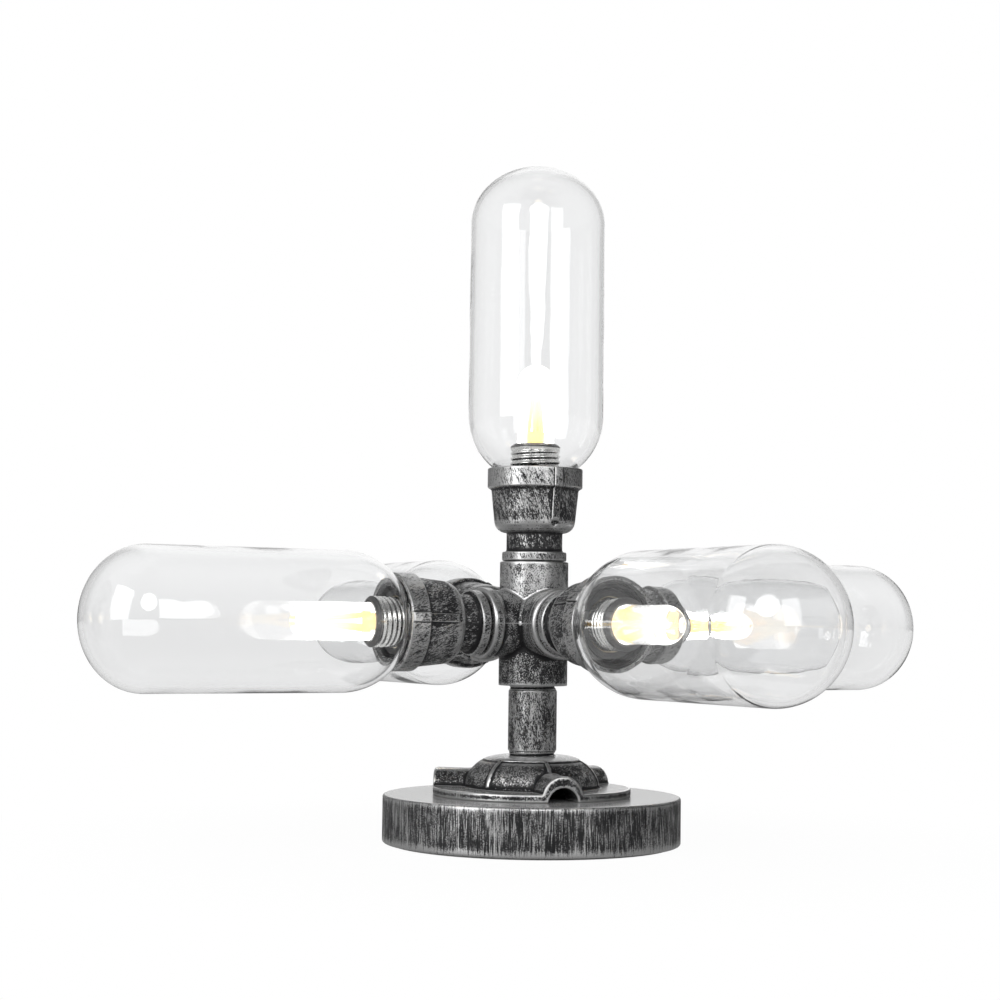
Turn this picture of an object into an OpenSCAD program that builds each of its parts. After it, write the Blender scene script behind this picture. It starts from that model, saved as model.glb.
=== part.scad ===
// Table lamp built from cast pipe fittings: a round weighted base, a floor flange, a short
// stem pipe and a six-way cross. Five bell-shaped cups screw onto the cross. Each cup holds a
// lampholder, a small screw-cap bulb and a clear capsule glass.
// Millimetres, +Z up, origin at the centre of the underside.

/* [Base] */
// Diameter of the base disc
base_d = 146; // [130:1:170]
// Height of the base from the table to its top face
base_h = 24; // [24:0.5:32]
// Chamfer on the disc's two rims
base_chamfer = 1.2; // [0.4:0.1:3]
// Thickness of the pad under the disc
pad_t = 0.8; // [0.8:0.1:1.2]
// How far the pad stops short of the disc's edge
pad_inset = 4; // [1:0.5:6]
// Diameter of the wiring recess under the disc
recess_d = 62; // [56:1:74]
// Thickness of iron left above the recess
web_t = 9; // [7:0.5:9]

/* [Cord inlet] */
// Height of the inlet's centre above the table
inlet_z = 8.5; // [8:0.5:10]
// Bore of the inlet bush
inlet_bore_d = 7.2; // [6:0.1:8]
// Wall of the bush's sleeve
bush_wall = 1.4; // [1:0.1:2]
// Length of the bush's sleeve inside the disc
bush_len = 14; // [8:1:20]
// Diameter of the bush's head
bush_head_d = 13.6; // [13:0.1:14]
// Thickness of the bush's head
bush_head_t = 2.4; // [1.5:0.1:3]

/* [Floor flange] */
// Diameter of the flange plate
flange_d = 97; // [90:1:104]
// Thickness of the flange plate
flange_plate_t = 3.9; // [3.5:0.1:5.5]
// Height of the flange from the disc to its boss
flange_h = 19.4; // [17:0.2:24]
// Diameter of the dome where it meets the plate
dome_foot_d = 67; // [62:1:72]
// Diameter of the boss round the pipe
boss_d = 29; // [28:0.5:32]
// Iron thickness of the dome
dome_wall = 3.6; // [3:0.1:4.5]
// Width of an arched tunnel outside
tunnel_w = 20; // [18:0.5:24]
// Height of an arched tunnel above the disc
tunnel_h = 12.4; // [11:0.1:13.5]
// Iron thickness of a tunnel's arch
tunnel_wall = 2.6; // [2:0.1:3.5]
// Turn of the first tunnel about the lamp's axis
tunnel_turn = -101; // [-180:1:180]
// Depth of the panels below the smooth iron
panel_depth = 0.3; // [0.1:0.1:0.8]
// Width of the raised frame round each panel
panel_frame = 1.9; // [1.2:0.1:4]
// Height of that frame above the smooth iron beside the panels
frame_h = 0.5; // [0.2:0.1:1]

/* [Stem pipe] */
// Outside diameter of the stem pipe
pipe_d = 23.8; // [23:0.2:26]
// Diameter of its threaded ends
pipe_thread_d = 22.8; // [21:0.1:22.8]
// Bore of the stem pipe
pipe_bore_d = 17.6; // [16:0.1:18]
// Length of pipe in view between flange and cross
pipe_view = 34; // [20:0.5:80]
// Length of thread in view at each end
thread_view = 2.2; // [1:0.1:4]
// Length of thread screwed into each fitting
pipe_grip = 9; // [7:0.5:10]

/* [Cross] */
// Diameter of the upright barrel of the cross
barrel_d = 33.8; // [33:0.2:36]
// Diameter of the four side branches
branch_d = 32.4; // [30:0.2:32.8]
// Distance from the centre of the cross to each outlet face
cross_reach = 30.4; // [29:0.2:36]
// Diameter of the bead round each side outlet
bead_d = 34.6; // [33.2:0.2:38]
// Width of that bead
bead_w = 5; // [3:0.5:7]
// Diameter of the core passage through the cross
core_d = 17; // [15:0.5:18]

/* [Cup] */
// Length of a cup from its collar to its rim
cup_len = 45.6; // [42:0.2:52]
// Diameter of the collar at the small end
collar_d = 31.8; // [30:0.2:34]
// Width of the collar
collar_w = 4.4; // [3.5:0.1:6]
// Diameter of the neck
neck_d = 27.6; // [26:0.2:29]
// Distance from the collar end to the bottom of the bell
bell_start = 13.8; // [12.5:0.1:15]
// Diameter of the bell above its rounded bottom
bell_foot_d = 40.2; // [39.6:0.2:41]
// Diameter of the bell under its rim band
bell_top_d = 43.2; // [42:0.2:44.4]
// Radius of the bell's rounded bottom
bell_round = 5.2; // [3.5:0.1:5.4]
// Diameter of the rim band
band_d = 47; // [46.4:0.2:50]
// Width of the rim band
band_w = 9.4; // [8:0.1:12]
// Width of the raised rib on the bell
rib_w = 3.6; // [2.5:0.1:5]
// Width of the rib where it crosses the band
rib_band_w = 4; // [3:0.1:6.5]
// Height of the rib
rib_h = 0.9; // [0.5:0.1:1.5]
// Gap from the top outlet to the top cup's collar
top_gap = 0.4; // [0.2:0.1:3]
// Gap from a side outlet to its cup's collar, where the nipple's thread shows
side_gap = 1.5; // [0.5:0.1:4]

/* [Nipple] */
// Thread diameter of the nipples that join the cups to the cross
nipple_d = 21; // [20:0.1:21.4]
// Bore of the nipples
nipple_bore_d = 15.6; // [14:0.1:16.4]
// Length of nipple screwed into the cross and into the cup
nipple_grip = 11; // [8:0.5:11.5]

/* [Glass] */
// Outside diameter of the capsule glass
glass_d = 67; // [60:0.2:72]
// Length of glass in view beyond the rim
glass_len = 151; // [120:0.5:180]
// Wall of the glass
glass_wall = 2.2; // [1.6:0.1:2.6]
// Height of the glass's domed end
dome_h = 29; // [24:0.5:36]
// Outside diameter of the glass's neck inside the cup
glass_neck_d = 39; // [38:0.2:39.4]
// Depth of the cup's mouth, where the glass's neck sits
mouth_depth = 9.5; // [8:0.1:11]
// Diameter of the cup's mouth
mouth_d = 42.4; // [42.2:0.1:43]
// Thickness of the rubber gasket under the glass's neck
gasket_t = 1.2; // [0.8:0.1:1.8]

/* [Lampholder] */
// Inside diameter of the cup round the lampholder
chamber_d = 35.2; // [34.8:0.1:35.6]
// Outside diameter of the lampholder's moulded body
holder_d = 32; // [31:0.1:32.4]
// Diameter of the body's foot
holder_foot_d = 34.6; // [33.6:0.1:34.6]
// Height of the body's foot
holder_foot_h = 4; // [3:0.5:6]
// Thickness of the body's floor
holder_floor = 6.5; // [5:0.5:8]
// How far the body ends below the cup's rim
holder_drop = 2; // [1:0.5:4]
// Wall of the brass screw shell
shell_wall = 0.4; // [0.3:0.05:0.5]
// Distance of the two fixing screws from the axis
screw_offset = 10; // [9.6:0.1:10.2]
// Shank diameter of a fixing screw
screw_d = 2.6; // [2:0.1:2.8]

/* [Bulb] */
// Diameter of the bulb's screw cap
cap_d = 24.6; // [24:0.1:26.4]
// Length of the cap's metal shell
cap_len = 28; // [24:0.5:32]
// Height of the insulator cone between the shell and the centre contact
insulator_h = 3.4; // [2.5:0.1:4.5]
// Thickness of the cap's floor
cap_floor = 2; // [1:0.5:4]
// Diameter of the bulb's glass capsule
capsule_d = 18; // [15:0.5:21]
// Length of capsule in view beyond the cap
capsule_len = 39.5; // [36:0.5:48]
// Wall of the capsule
capsule_wall = 0.8; // [0.6:0.1:1.2]
// Number of filament sticks
stick_count = 4; // [2:1:6]
// Length of a filament stick
stick_len = 28; // [18:1:30]
// Diameter of a filament stick
stick_d = 1.2; // [0.8:0.1:1.6]
// Distance of the sticks from the axis
stick_offset = 2.4; // [1.8:0.1:4.5]
// Height of the sticks' feet above the cap
stick_rise = 3.5; // [2:0.5:4]

/* [Hidden] */
$fn = 96;
arc_steps = 20;
cut = 1;

// Running clearance of pieces that move, and fit clearance of pieces that stay
run_gap = 0.3;
fit_gap = 0.1;

// Heights up the lamp's axis
disc_top = base_h;
boss_top = disc_top + flange_h;
cross_bottom = boss_top + pipe_view;
cross_z = cross_bottom + cross_reach;
recess_top = disc_top - web_t;

// Tie tube, nuts and washer that clamp the flange to the disc
tie_d = 9.8;
tie_bore_d = 6.6;
nut_across = 14;
nut_h = 5;
washer_d = 26;
washer_t = 1.5;
flange_floor = 4;
nut_top = disc_top + flange_floor + nut_h;

// Wires, terminal block and earth screw
feed_d = 5.2;
branch_wire_d = 3.2;
feed_z = pad_t + 1 + feed_d / 2;
block_size = [14, 20, 7];
block_x = washer_d / 2 + 0.6;
earth_y = -20;
earth_d = 4;
earth_head_d = 8;
earth_head_t = 3;

// Distances along an arm, from the collar end of its cup
rim_u = cup_len;
ledge_u = rim_u - mouth_depth;
chamber_floor = bell_start + 3.7;
socket_depth = bell_start - 0.6;
wire_hole_d = 12;
holder_top = rim_u - holder_drop;
shell_u = chamber_floor + holder_floor;
shell_in_d = cap_d + 2 * run_gap;
shell_out_d = shell_in_d + 2 * shell_wall;
plate_hole_d = 12;
contact_d = 7.2;
contact_top = shell_u + 2.3;

// Bulb, from its centre contact to the tip of the capsule
button_u = contact_top + run_gap;
button_d = 6.4;
button_h = 0.8;
cap_u = button_u + insulator_h;
cap_end = cap_u + cap_len;
lip_h = 1.4;
cap_taper = 2;
lip_r = cap_d / 2 - cap_taper;
capsule_seat = 6;
capsule_u = cap_end - capsule_seat;
capsule_tip = cap_end + capsule_len;
stick_u = cap_end + stick_rise;
stem_d = 4;
cage_ring_t = 0.8;

// Glass, from its neck inside the cup to its tip
glass_r = glass_d / 2;
neck_end_u = ledge_u + gasket_t + run_gap;
rim_glass_r = mouth_d / 2 - 2 * run_gap;
shoulder_u = rim_u + sagitta(glass_r, rim_glass_r);
dome_u = rim_u + glass_len - dome_h;

// Arms, in the order top, left, front, right, rear: the turn that points +Z along the arm, the
// collar's gap to its outlet, and where the cup's thread stops it turning about its own axis
TOP = 0;
LEFT = 1;
FRONT = 2;
RIGHT = 3;
REAR = 4;
arm_turn = [[0, 0, 0], [0, -90, 0], [90, 0, 0], [0, 90, 0], [-90, 0, 0]];
arm_gap = [top_gap, side_gap, side_gap, side_gap, side_gap];
cup_turn = [0, 6, 58, -24, 32];

function arc_points(cx, cy, rx, ry, from, to) =
    [for (i = [0:arc_steps])
        let (a = from + (to - from) * i / arc_steps)
        [cx + rx * cos(a), cy + ry * sin(a)]];

// Height of a circle of radius r above its centre, at distance x from the centre line
function sagitta(r, x) = sqrt(r * r - x * x);

// Places a piece drawn along +Z, with 0 at its cup's collar end, on one arm of the cross
module on_arm(arm) {
    translate([0, 0, cross_z])
        rotate(arm_turn[arm])
            translate([0, 0, cross_reach + arm_gap[arm]])
                rotate([0, 0, cup_turn[arm]])
                    children();
}

module ring(outer_d, inner_d, h) {
    difference() {
        cylinder(d = outer_d, h = h);
        translate([0, 0, -cut]) cylinder(d = inner_d, h = h + 2 * cut);
    }
}

// Weighted disc with a wiring recess underneath and a cord passage to the rear
module base_disc() {
    color([0.2, 0.2, 0.2])
    difference() {
        rotate_extrude()
            polygon([
                [0, pad_t], [base_d / 2 - base_chamfer, pad_t], [base_d / 2, pad_t + base_chamfer],
                [base_d / 2, disc_top - base_chamfer], [base_d / 2 - base_chamfer, disc_top],
                [0, disc_top]
            ]);
        translate([0, 0, -cut]) cylinder(d = recess_d, h = recess_top + cut);
        cylinder(d = tie_d + 2 * fit_gap, h = base_h + cut);
        translate([0, 0, inlet_z]) rotate([-90, 0, 0])
            cylinder(d = inlet_bore_d + 2 * bush_wall + 2 * fit_gap, h = base_d);
        translate([0, bush_seat_y(), inlet_z]) rotate([-90, 0, 0])
            cylinder(d = bush_head_d + 2 * fit_gap, h = base_d);
        translate([0, earth_y, recess_top - cut]) cylinder(d = earth_d + 2 * fit_gap, h = cut + 6);
    }
}

// Where the head of the bush seats, so that it stays inside the round edge of the disc
function bush_seat_y() = sagitta(base_d / 2, bush_head_d / 2) - bush_head_t;

// Pad glued under the disc, which also closes the wiring recess
module base_pad() {
    color([0.6, 0.6, 0.59]) cylinder(d = base_d - 2 * pad_inset, h = pad_t);
}

// Plastic bush in the cord passage
module cord_bush() {
    color([0.08, 0.08, 0.08])
    translate([0, bush_seat_y(), inlet_z]) rotate([-90, 0, 0])
    difference() {
        union() {
            translate([0, 0, -bush_len]) cylinder(d = inlet_bore_d + 2 * bush_wall, h = bush_len + cut);
            cylinder(d = bush_head_d, h = bush_head_t);
        }
        translate([0, 0, -bush_len - cut]) cylinder(d = inlet_bore_d, h = bush_len + bush_head_t + 2 * cut);
    }
}

// Two-pole terminal block under the web of the disc
module terminal_block() {
    pole_d = 5;
    color([0.85, 0.85, 0.8])
    translate([block_x, -block_size[1] / 2, recess_top - block_size[2]])
    difference() {
        cube(block_size);
        for (side = [1, 3])
            translate([block_size[0] / 2, block_size[1] * side / 4, -cut])
                cylinder(d = pole_d, h = block_size[2] / 2 + cut);
    }
}

// Earth screw into the web of the disc
module earth_screw() {
    color([0.75, 0.65, 0.35])
    translate([0, earth_y, recess_top]) {
        cylinder(d = earth_d, h = 6 - fit_gap);
        translate([0, 0, -earth_head_t]) cylinder(d = earth_head_d, h = earth_head_t);
    }
}

// Half section of the dome, drawn in from its surface by a depth
module dome_section(depth) {
    boss_r = boss_d / 2;
    rise = flange_h - flange_plate_t;
    spread = dome_foot_d / 2 - boss_r;
    polygon(concat(
        [[0, 0]],
        arc_points(boss_r, flange_plate_t, spread - depth, rise - depth, 0, 90),
        [[0, flange_h - depth]]
    ));
}

// Arch of one tunnel, seen along it
module arch(w, h) {
    translate([0, h - w / 2]) circle(d = w);
    translate([-w / 2, 0]) square([w, h - w / 2]);
}

module along_tunnels() {
    for (i = [0:2])
        rotate([0, 0, tunnel_turn + 120 * i])
            rotate([90, 0, 90])
                children();
}

// Sector of the dome cut down from its surface, from a low edge up to the collar round the boss
module dome_cut(from, span, low, depth) {
    rotate([0, 0, from])
        rotate_extrude(angle = span)
            difference() {
                translate([boss_d / 2, low]) square([dome_foot_d, flange_h - panel_frame - low]);
                dome_section(depth);
            }
}

// Cast floor flange: a domed boss with three arched tunnels and three panels in raised frames
module floor_flange() {
    tunnel_in_w = tunnel_w - 2 * tunnel_wall;
    tunnel_start = boss_d / 2 + dome_wall;
    panel_span = 60;
    frame_angle = panel_frame / (dome_foot_d / 2) * 180 / PI;
    panel_low = flange_plate_t + 1;
    color([0.3, 0.3, 0.3])
    translate([0, 0, disc_top])
    difference() {
        union() {
            difference() {
                rotate_extrude() dome_section(0);
                for (turn = [tunnel_turn, tunnel_turn + 120, tunnel_turn + 240]) {
                    dome_cut(turn - panel_span + frame_angle, panel_span - 2 * frame_angle,
                             panel_low, frame_h + panel_depth);
                    dome_cut(turn, 120 - panel_span, 0, frame_h);
                }
            }
            cylinder(d = boss_d, h = flange_h);
            cylinder(d = flange_d, h = flange_plate_t);
            intersection() {
                along_tunnels() linear_extrude(flange_d / 2) arch(tunnel_w, tunnel_h);
                cylinder(d = flange_d, h = flange_h);
            }
        }
        along_tunnels()
            translate([0, 0, tunnel_start])
                linear_extrude(flange_d / 2)
                    translate([0, -cut])
                        arch(tunnel_in_w, tunnel_in_w / 2 + 0.6);
        difference() {
            translate([0, 0, -cut])
                cylinder(d = dome_foot_d - 2 * dome_wall, h = flange_plate_t + cut);
            translate([0, 0, -2 * cut]) cylinder(r = tunnel_start, h = flange_h);
        }
        translate([0, 0, flange_floor]) cylinder(d = pipe_thread_d + 2 * fit_gap, h = flange_h);
        translate([0, 0, -cut]) cylinder(d = tie_d + 2 * fit_gap, h = flange_h);
    }
}

// Threaded tube that ties the flange to the disc and carries the wires
module tie_tube() {
    low = recess_top - washer_t - nut_h - 1;
    color([0.7, 0.62, 0.35])
    translate([0, 0, low]) ring(tie_d, tie_bore_d, nut_top + 1 - low);
}

module hex_nut() {
    difference() {
        cylinder(d = nut_across / cos(30), h = nut_h, $fn = 6);
        translate([0, 0, -cut]) cylinder(d = tie_d + 2 * fit_gap, h = nut_h + 2 * cut);
    }
}

// One nut inside the flange's boss and one under the disc's web
module clamp_nuts() {
    color([0.6, 0.6, 0.55]) {
        translate([0, 0, disc_top + flange_floor]) hex_nut();
        translate([0, 0, recess_top - washer_t - nut_h]) hex_nut();
    }
}

module clamp_washer() {
    color([0.6, 0.6, 0.6])
    translate([0, 0, recess_top - washer_t]) ring(washer_d, tie_d + 2 * fit_gap, washer_t);
}

// Stem pipe with a threaded end in the flange and one in the cross
module stem_pipe() {
    body = pipe_view - 2 * thread_view;
    whole = pipe_view + 2 * pipe_grip;
    color([0.33, 0.33, 0.33])
    translate([0, 0, boss_top])
    difference() {
        union() {
            translate([0, 0, thread_view]) cylinder(d = pipe_d, h = body);
            translate([0, 0, -pipe_grip]) cylinder(d = pipe_thread_d, h = whole);
        }
        translate([0, 0, -pipe_grip - cut]) cylinder(d = pipe_bore_d, h = whole + 2 * cut);
    }
}

module side_arms() {
    for (arm = [LEFT:REAR])
        rotate(arm_turn[arm])
            children();
}

// Six-way cast cross: an upright barrel, four beaded side branches and a bored core
module cross() {
    bead_start = cross_reach - bead_w;
    bead_edge = 0.8;
    branch_r = branch_d / 2;
    bead_r = bead_d / 2;
    color([0.35, 0.35, 0.35])
    translate([0, 0, cross_z])
    difference() {
        union() {
            translate([0, 0, -cross_reach]) cylinder(d = barrel_d, h = 2 * cross_reach);
            side_arms()
                rotate_extrude()
                    polygon([
                        [0, 0], [branch_r, 0], [branch_r, bead_start - bead_edge],
                        [bead_r, bead_start], [bead_r, cross_reach - bead_edge],
                        [bead_r - bead_edge, cross_reach], [0, cross_reach]
                    ]);
        }
        side_arms()
            translate([0, 0, cross_reach - nipple_grip - cut])
                cylinder(d = nipple_d + 2 * fit_gap, h = nipple_grip + 2 * cut);
        translate([0, 0, cross_reach - nipple_grip - cut])
            cylinder(d = nipple_d + 2 * fit_gap, h = nipple_grip + 2 * cut);
        translate([0, 0, -cross_reach - cut])
            cylinder(d = pipe_thread_d + 2 * fit_gap, h = pipe_grip + 2 * cut);
        side_arms() cylinder(d = core_d, h = cross_reach);
        translate([0, 0, -cross_reach]) cylinder(d = core_d, h = 2 * cross_reach);
    }
}

// Insulated wires from the terminal block up the stem and out along each arm
module wiring() {
    color([0.55, 0.1, 0.1])
    union() {
        translate([0, 0, feed_z]) cylinder(d = feed_d, h = cross_z - feed_z);
        translate([0, 0, feed_z]) sphere(d = feed_d);
        translate([0, 0, feed_z]) rotate([0, 90, 0])
            cylinder(d = feed_d, h = block_x + block_size[0] / 2);
        translate([block_x + block_size[0] / 2, 0, feed_z]) sphere(d = feed_d);
        translate([block_x + block_size[0] / 2, 0, feed_z])
            cylinder(d = feed_d, h = recess_top - block_size[2] - feed_z);
        translate([0, 0, cross_z]) sphere(d = feed_d + 2);
        for (arm = [TOP:REAR])
            translate([0, 0, cross_z]) rotate(arm_turn[arm])
                cylinder(d = branch_wire_d, h = cross_reach + arm_gap[arm] + shell_u);
    }
}

// Half section of a cup's outside, drawn out from its surface by a height
module cup_section(out) {
    foot_r = bell_foot_d / 2;
    top_r = bell_top_d / 2;
    band_r = band_d / 2;
    neck_r = neck_d / 2;
    collar_r = collar_d / 2;
    edge = 0.6;
    band_u = rim_u - band_w;
    polygon(concat(
        [[0, 0], [collar_r - edge + out, 0], [collar_r + out, edge],
         [collar_r + out, collar_w - edge], [collar_r - edge + out, collar_w],
         [neck_r + 1 + out, collar_w + 0.3], [neck_r + out, collar_w + 1.6],
         [neck_r + out, bell_start - 1.4], [neck_r + 0.5 + out, bell_start - 0.4]],
        arc_points(foot_r - bell_round, bell_start + bell_round,
                   bell_round + out, bell_round + out, -90, 0),
        [[top_r + out, band_u - 1.4], [top_r + 0.7 + out, band_u - 0.3], [band_r + out, band_u + 0.4],
         [band_r + out, rim_u - edge], [band_r - edge + out, rim_u], [0, rim_u]]
    ));
}

// Ribs cast on two opposite sides of the bell, which also cross the rim band
module cup_ribs() {
    band_u = rim_u - band_w;
    rib_start = bell_start + bell_round;
    intersection() {
        rotate_extrude() cup_section(rib_h);
        union() {
            translate([-rib_w / 2, -band_d, rib_start]) cube([rib_w, 2 * band_d, band_u - rib_start]);
            translate([-rib_band_w / 2, -band_d, band_u]) cube([rib_band_w, 2 * band_d, band_w]);
        }
    }
}

// Bell-shaped cast cup with its collar, neck, ribs and rim band, hollowed for the lampholder
module cup(arm) {
    color([0.3, 0.3, 0.3])
    on_arm(arm)
    difference() {
        union() {
            rotate_extrude() cup_section(0);
            cup_ribs();
        }
        translate([0, 0, -cut]) cylinder(d = nipple_d + 2 * fit_gap, h = socket_depth + cut);
        cylinder(d = wire_hole_d, h = rim_u);
        translate([0, 0, chamber_floor]) cylinder(d = chamber_d, h = rim_u);
        translate([0, 0, ledge_u]) cylinder(d = mouth_d, h = mouth_depth + cut);
        for (side = [-1, 1])
            translate([side * screw_offset, 0, socket_depth])
                cylinder(d = screw_d + 2 * fit_gap, h = chamber_floor);
    }
}

// Close nipple that joins a cup to the cross
module nipple(arm) {
    color([0.25, 0.25, 0.25])
    on_arm(arm)
    translate([0, 0, -arm_gap[arm] - nipple_grip])
        ring(nipple_d, nipple_bore_d, arm_gap[arm] + 2 * nipple_grip);
}

// Rubber ring that the glass's neck stands in
module gasket(arm) {
    sleeve_in = glass_neck_d + 2 * run_gap;
    color([0.05, 0.05, 0.05])
    on_arm(arm)
    translate([0, 0, ledge_u]) {
        difference() {
            cylinder(d = mouth_d - 2 * fit_gap, h = mouth_depth - run_gap);
            translate([0, 0, gasket_t]) cylinder(d = sleeve_in, h = mouth_depth);
            translate([0, 0, -cut]) cylinder(d = chamber_d, h = mouth_depth);
        }
    }
}

// Moulded black lampholder body, screwed down to the floor of the cup
module holder(arm) {
    screw_head_d = 2 * screw_d;
    color([0.07, 0.07, 0.07])
    on_arm(arm)
    difference() {
        union() {
            translate([0, 0, chamber_floor]) cylinder(d = holder_foot_d, h = holder_foot_h);
            translate([0, 0, chamber_floor]) cylinder(d = holder_d, h = holder_top - chamber_floor);
        }
        translate([0, 0, shell_u]) cylinder(d = shell_out_d + 2 * fit_gap, h = cup_len);
        translate([0, 0, chamber_floor - cut]) cylinder(d = branch_wire_d + 1, h = cup_len);
        for (side = [-1, 1])
            translate([side * screw_offset, 0, 0]) {
                cylinder(d = screw_d + 2 * fit_gap, h = cup_len);
                translate([0, 0, shell_u - screw_d])
                    cylinder(d = screw_head_d + 2 * fit_gap, h = screw_d + cut);
            }
    }
}

// Brass screw shell and centre contact in each lampholder
module holder_contacts() {
    shell_top = holder_top - 1;
    color([0.8, 0.66, 0.3])
    for (arm = [TOP:REAR])
        on_arm(arm)
        translate([0, 0, shell_u]) {
            difference() {
                cylinder(d = shell_out_d, h = shell_top - shell_u);
                translate([0, 0, shell_wall]) cylinder(d = shell_in_d, h = cup_len);
                translate([0, 0, -cut]) cylinder(d = plate_hole_d, h = cup_len);
            }
            cylinder(d = contact_d, h = contact_top - shell_u);
        }
}

// Two screws in each lampholder, countersunk in its floor and threaded into the cup
module holder_screws() {
    length = shell_u - socket_depth;
    color([0.6, 0.6, 0.6])
    for (arm = [TOP:REAR])
        on_arm(arm)
        for (side = [-1, 1])
            translate([side * screw_offset, 0, socket_depth]) {
                cylinder(d = screw_d, h = length - screw_d + cut);
                translate([0, 0, length - screw_d]) cylinder(d = 2 * screw_d, h = screw_d);
            }
}

// Clear capsule glass: a neck, a round shoulder, a straight barrel and a domed end
module glass(arm) {
    inner_r = glass_r - glass_wall;
    neck_r = glass_neck_d / 2;
    inner_neck_r = neck_r - glass_wall;
    outer_start = -acos(rim_glass_r / glass_r);
    inner_start = -acos(inner_neck_r / inner_r);
    color([0.85, 0.9, 0.92, 0.35])
    on_arm(arm)
    rotate_extrude()
        polygon(concat(
            [[neck_r, neck_end_u], [neck_r, rim_u - run_gap]],
            arc_points(0, shoulder_u, glass_r, glass_r, outer_start, 0),
            arc_points(0, dome_u, glass_r, dome_h, 0, 90),
            arc_points(0, dome_u, inner_r, dome_h - glass_wall, 90, 0),
            arc_points(0, shoulder_u, inner_r, inner_r, 0, inner_start),
            [[inner_neck_r, neck_end_u]]
        ));
}

// Screw cap of a bulb with its ceramic liner, insulator and centre contact
module bulb_cap(arm) {
    cap_r = cap_d / 2;
    contact_r = button_d / 2;
    color([0.75, 0.75, 0.72])
    on_arm(arm)
    difference() {
        rotate_extrude()
            polygon([
                [0, button_u], [contact_r, button_u], [contact_r, button_u + button_h], [lip_r, cap_u],
                [cap_r - 1, cap_u], [cap_r, cap_u + 1], [cap_r, cap_end - lip_h], [lip_r, cap_end],
                [0, cap_end]
            ]);
        translate([0, 0, cap_u + cap_floor]) cylinder(d = capsule_d + 2 * fit_gap, h = cap_end);
    }
}

// Closed glass capsule of a bulb
module capsule(arm) {
    r = capsule_d / 2;
    inner_r = r - capsule_wall;
    color([0.98, 0.96, 0.88, 0.5])
    on_arm(arm)
    rotate_extrude()
        polygon(concat(
            [[0, capsule_u], [r, capsule_u]],
            arc_points(0, capsule_tip - r, r, r, 0, 90),
            arc_points(0, capsule_tip - r, inner_r, inner_r, 90, 0),
            [[inner_r, capsule_u + capsule_wall], [0, capsule_u + capsule_wall]]
        ));
}

// Glass stem of a bulb and a cage of filament sticks between two holding rings
module filament(arm) {
    stem_u = capsule_u + capsule_wall;
    ring_d = 2 * (stick_offset + stick_d);
    color([1, 0.85, 0.4])
    on_arm(arm) {
        translate([0, 0, stem_u]) cylinder(d = stem_d, h = stick_u - stem_u);
        for (i = [0:stick_count - 1])
            rotate([0, 0, 360 * i / stick_count])
                translate([stick_offset, 0, stick_u]) cylinder(d = stick_d, h = stick_len);
        for (end = [stick_u, stick_u + stick_len - cage_ring_t])
            translate([0, 0, end]) cylinder(d = ring_d, h = cage_ring_t);
    }
}

base_disc();
base_pad();
cord_bush();
terminal_block();
earth_screw();
floor_flange();
tie_tube();
clamp_nuts();
clamp_washer();
stem_pipe();
cross();
wiring();
cup(TOP);  // cup_top
cup(LEFT);  // cup_left
cup(FRONT);  // cup_front
cup(RIGHT);  // cup_right
cup(REAR);  // cup_rear
nipple(TOP);  // nipple_top
nipple(LEFT);  // nipple_left
nipple(FRONT);  // nipple_front
nipple(RIGHT);  // nipple_right
nipple(REAR);  // nipple_rear
gasket(TOP);  // gasket_top
gasket(LEFT);  // gasket_left
gasket(FRONT);  // gasket_front
gasket(RIGHT);  // gasket_right
gasket(REAR);  // gasket_rear
holder(TOP);  // holder_top
holder(LEFT);  // holder_left
holder(FRONT);  // holder_front
holder(RIGHT);  // holder_right
holder(REAR);  // holder_rear
holder_contacts();
holder_screws();
glass(TOP);  // glass_top
glass(LEFT);  // glass_left
glass(FRONT);  // glass_front
glass(RIGHT);  // glass_right
glass(REAR);  // glass_rear
bulb_cap(TOP);  // bulb_cap_top
bulb_cap(LEFT);  // bulb_cap_left
bulb_cap(FRONT);  // bulb_cap_front
bulb_cap(RIGHT);  // bulb_cap_right
bulb_cap(REAR);  // bulb_cap_rear
capsule(TOP);  // capsule_top
capsule(LEFT);  // capsule_left
capsule(FRONT);  // capsule_front
capsule(RIGHT);  // capsule_right
capsule(REAR);  // capsule_rear
filament(TOP);  // filament_top
filament(LEFT);  // filament_left
filament(FRONT);  // filament_front
filament(RIGHT);  // filament_right
filament(REAR);  // filament_rear
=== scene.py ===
import math

import bmesh
import bpy
import numpy as np
from mathutils import Matrix, Vector


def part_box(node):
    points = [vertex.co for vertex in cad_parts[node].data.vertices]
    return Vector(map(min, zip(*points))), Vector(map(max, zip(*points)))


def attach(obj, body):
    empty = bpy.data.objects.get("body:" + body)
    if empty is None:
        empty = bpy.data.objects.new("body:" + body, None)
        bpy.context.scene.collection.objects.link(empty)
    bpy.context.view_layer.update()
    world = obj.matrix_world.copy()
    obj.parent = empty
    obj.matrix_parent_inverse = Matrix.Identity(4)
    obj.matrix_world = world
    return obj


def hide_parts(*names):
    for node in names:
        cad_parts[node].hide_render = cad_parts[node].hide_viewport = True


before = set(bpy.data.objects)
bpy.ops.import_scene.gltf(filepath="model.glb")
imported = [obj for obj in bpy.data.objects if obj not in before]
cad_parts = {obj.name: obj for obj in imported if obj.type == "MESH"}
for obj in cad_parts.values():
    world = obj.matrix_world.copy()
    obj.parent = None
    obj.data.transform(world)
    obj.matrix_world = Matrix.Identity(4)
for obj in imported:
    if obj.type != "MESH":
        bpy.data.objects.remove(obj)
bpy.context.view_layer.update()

# Camera. A short telephoto lens a metre from the stem, level with the cross and turned 29 degrees
# past the front arm. It looks up a little, and the lamp leans clockwise in the frame.
CAMERA_TURN = math.radians(-29.45)
CAMERA_PAN = math.radians(0.99)
CAMERA_TILT = math.radians(3.53)
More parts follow.
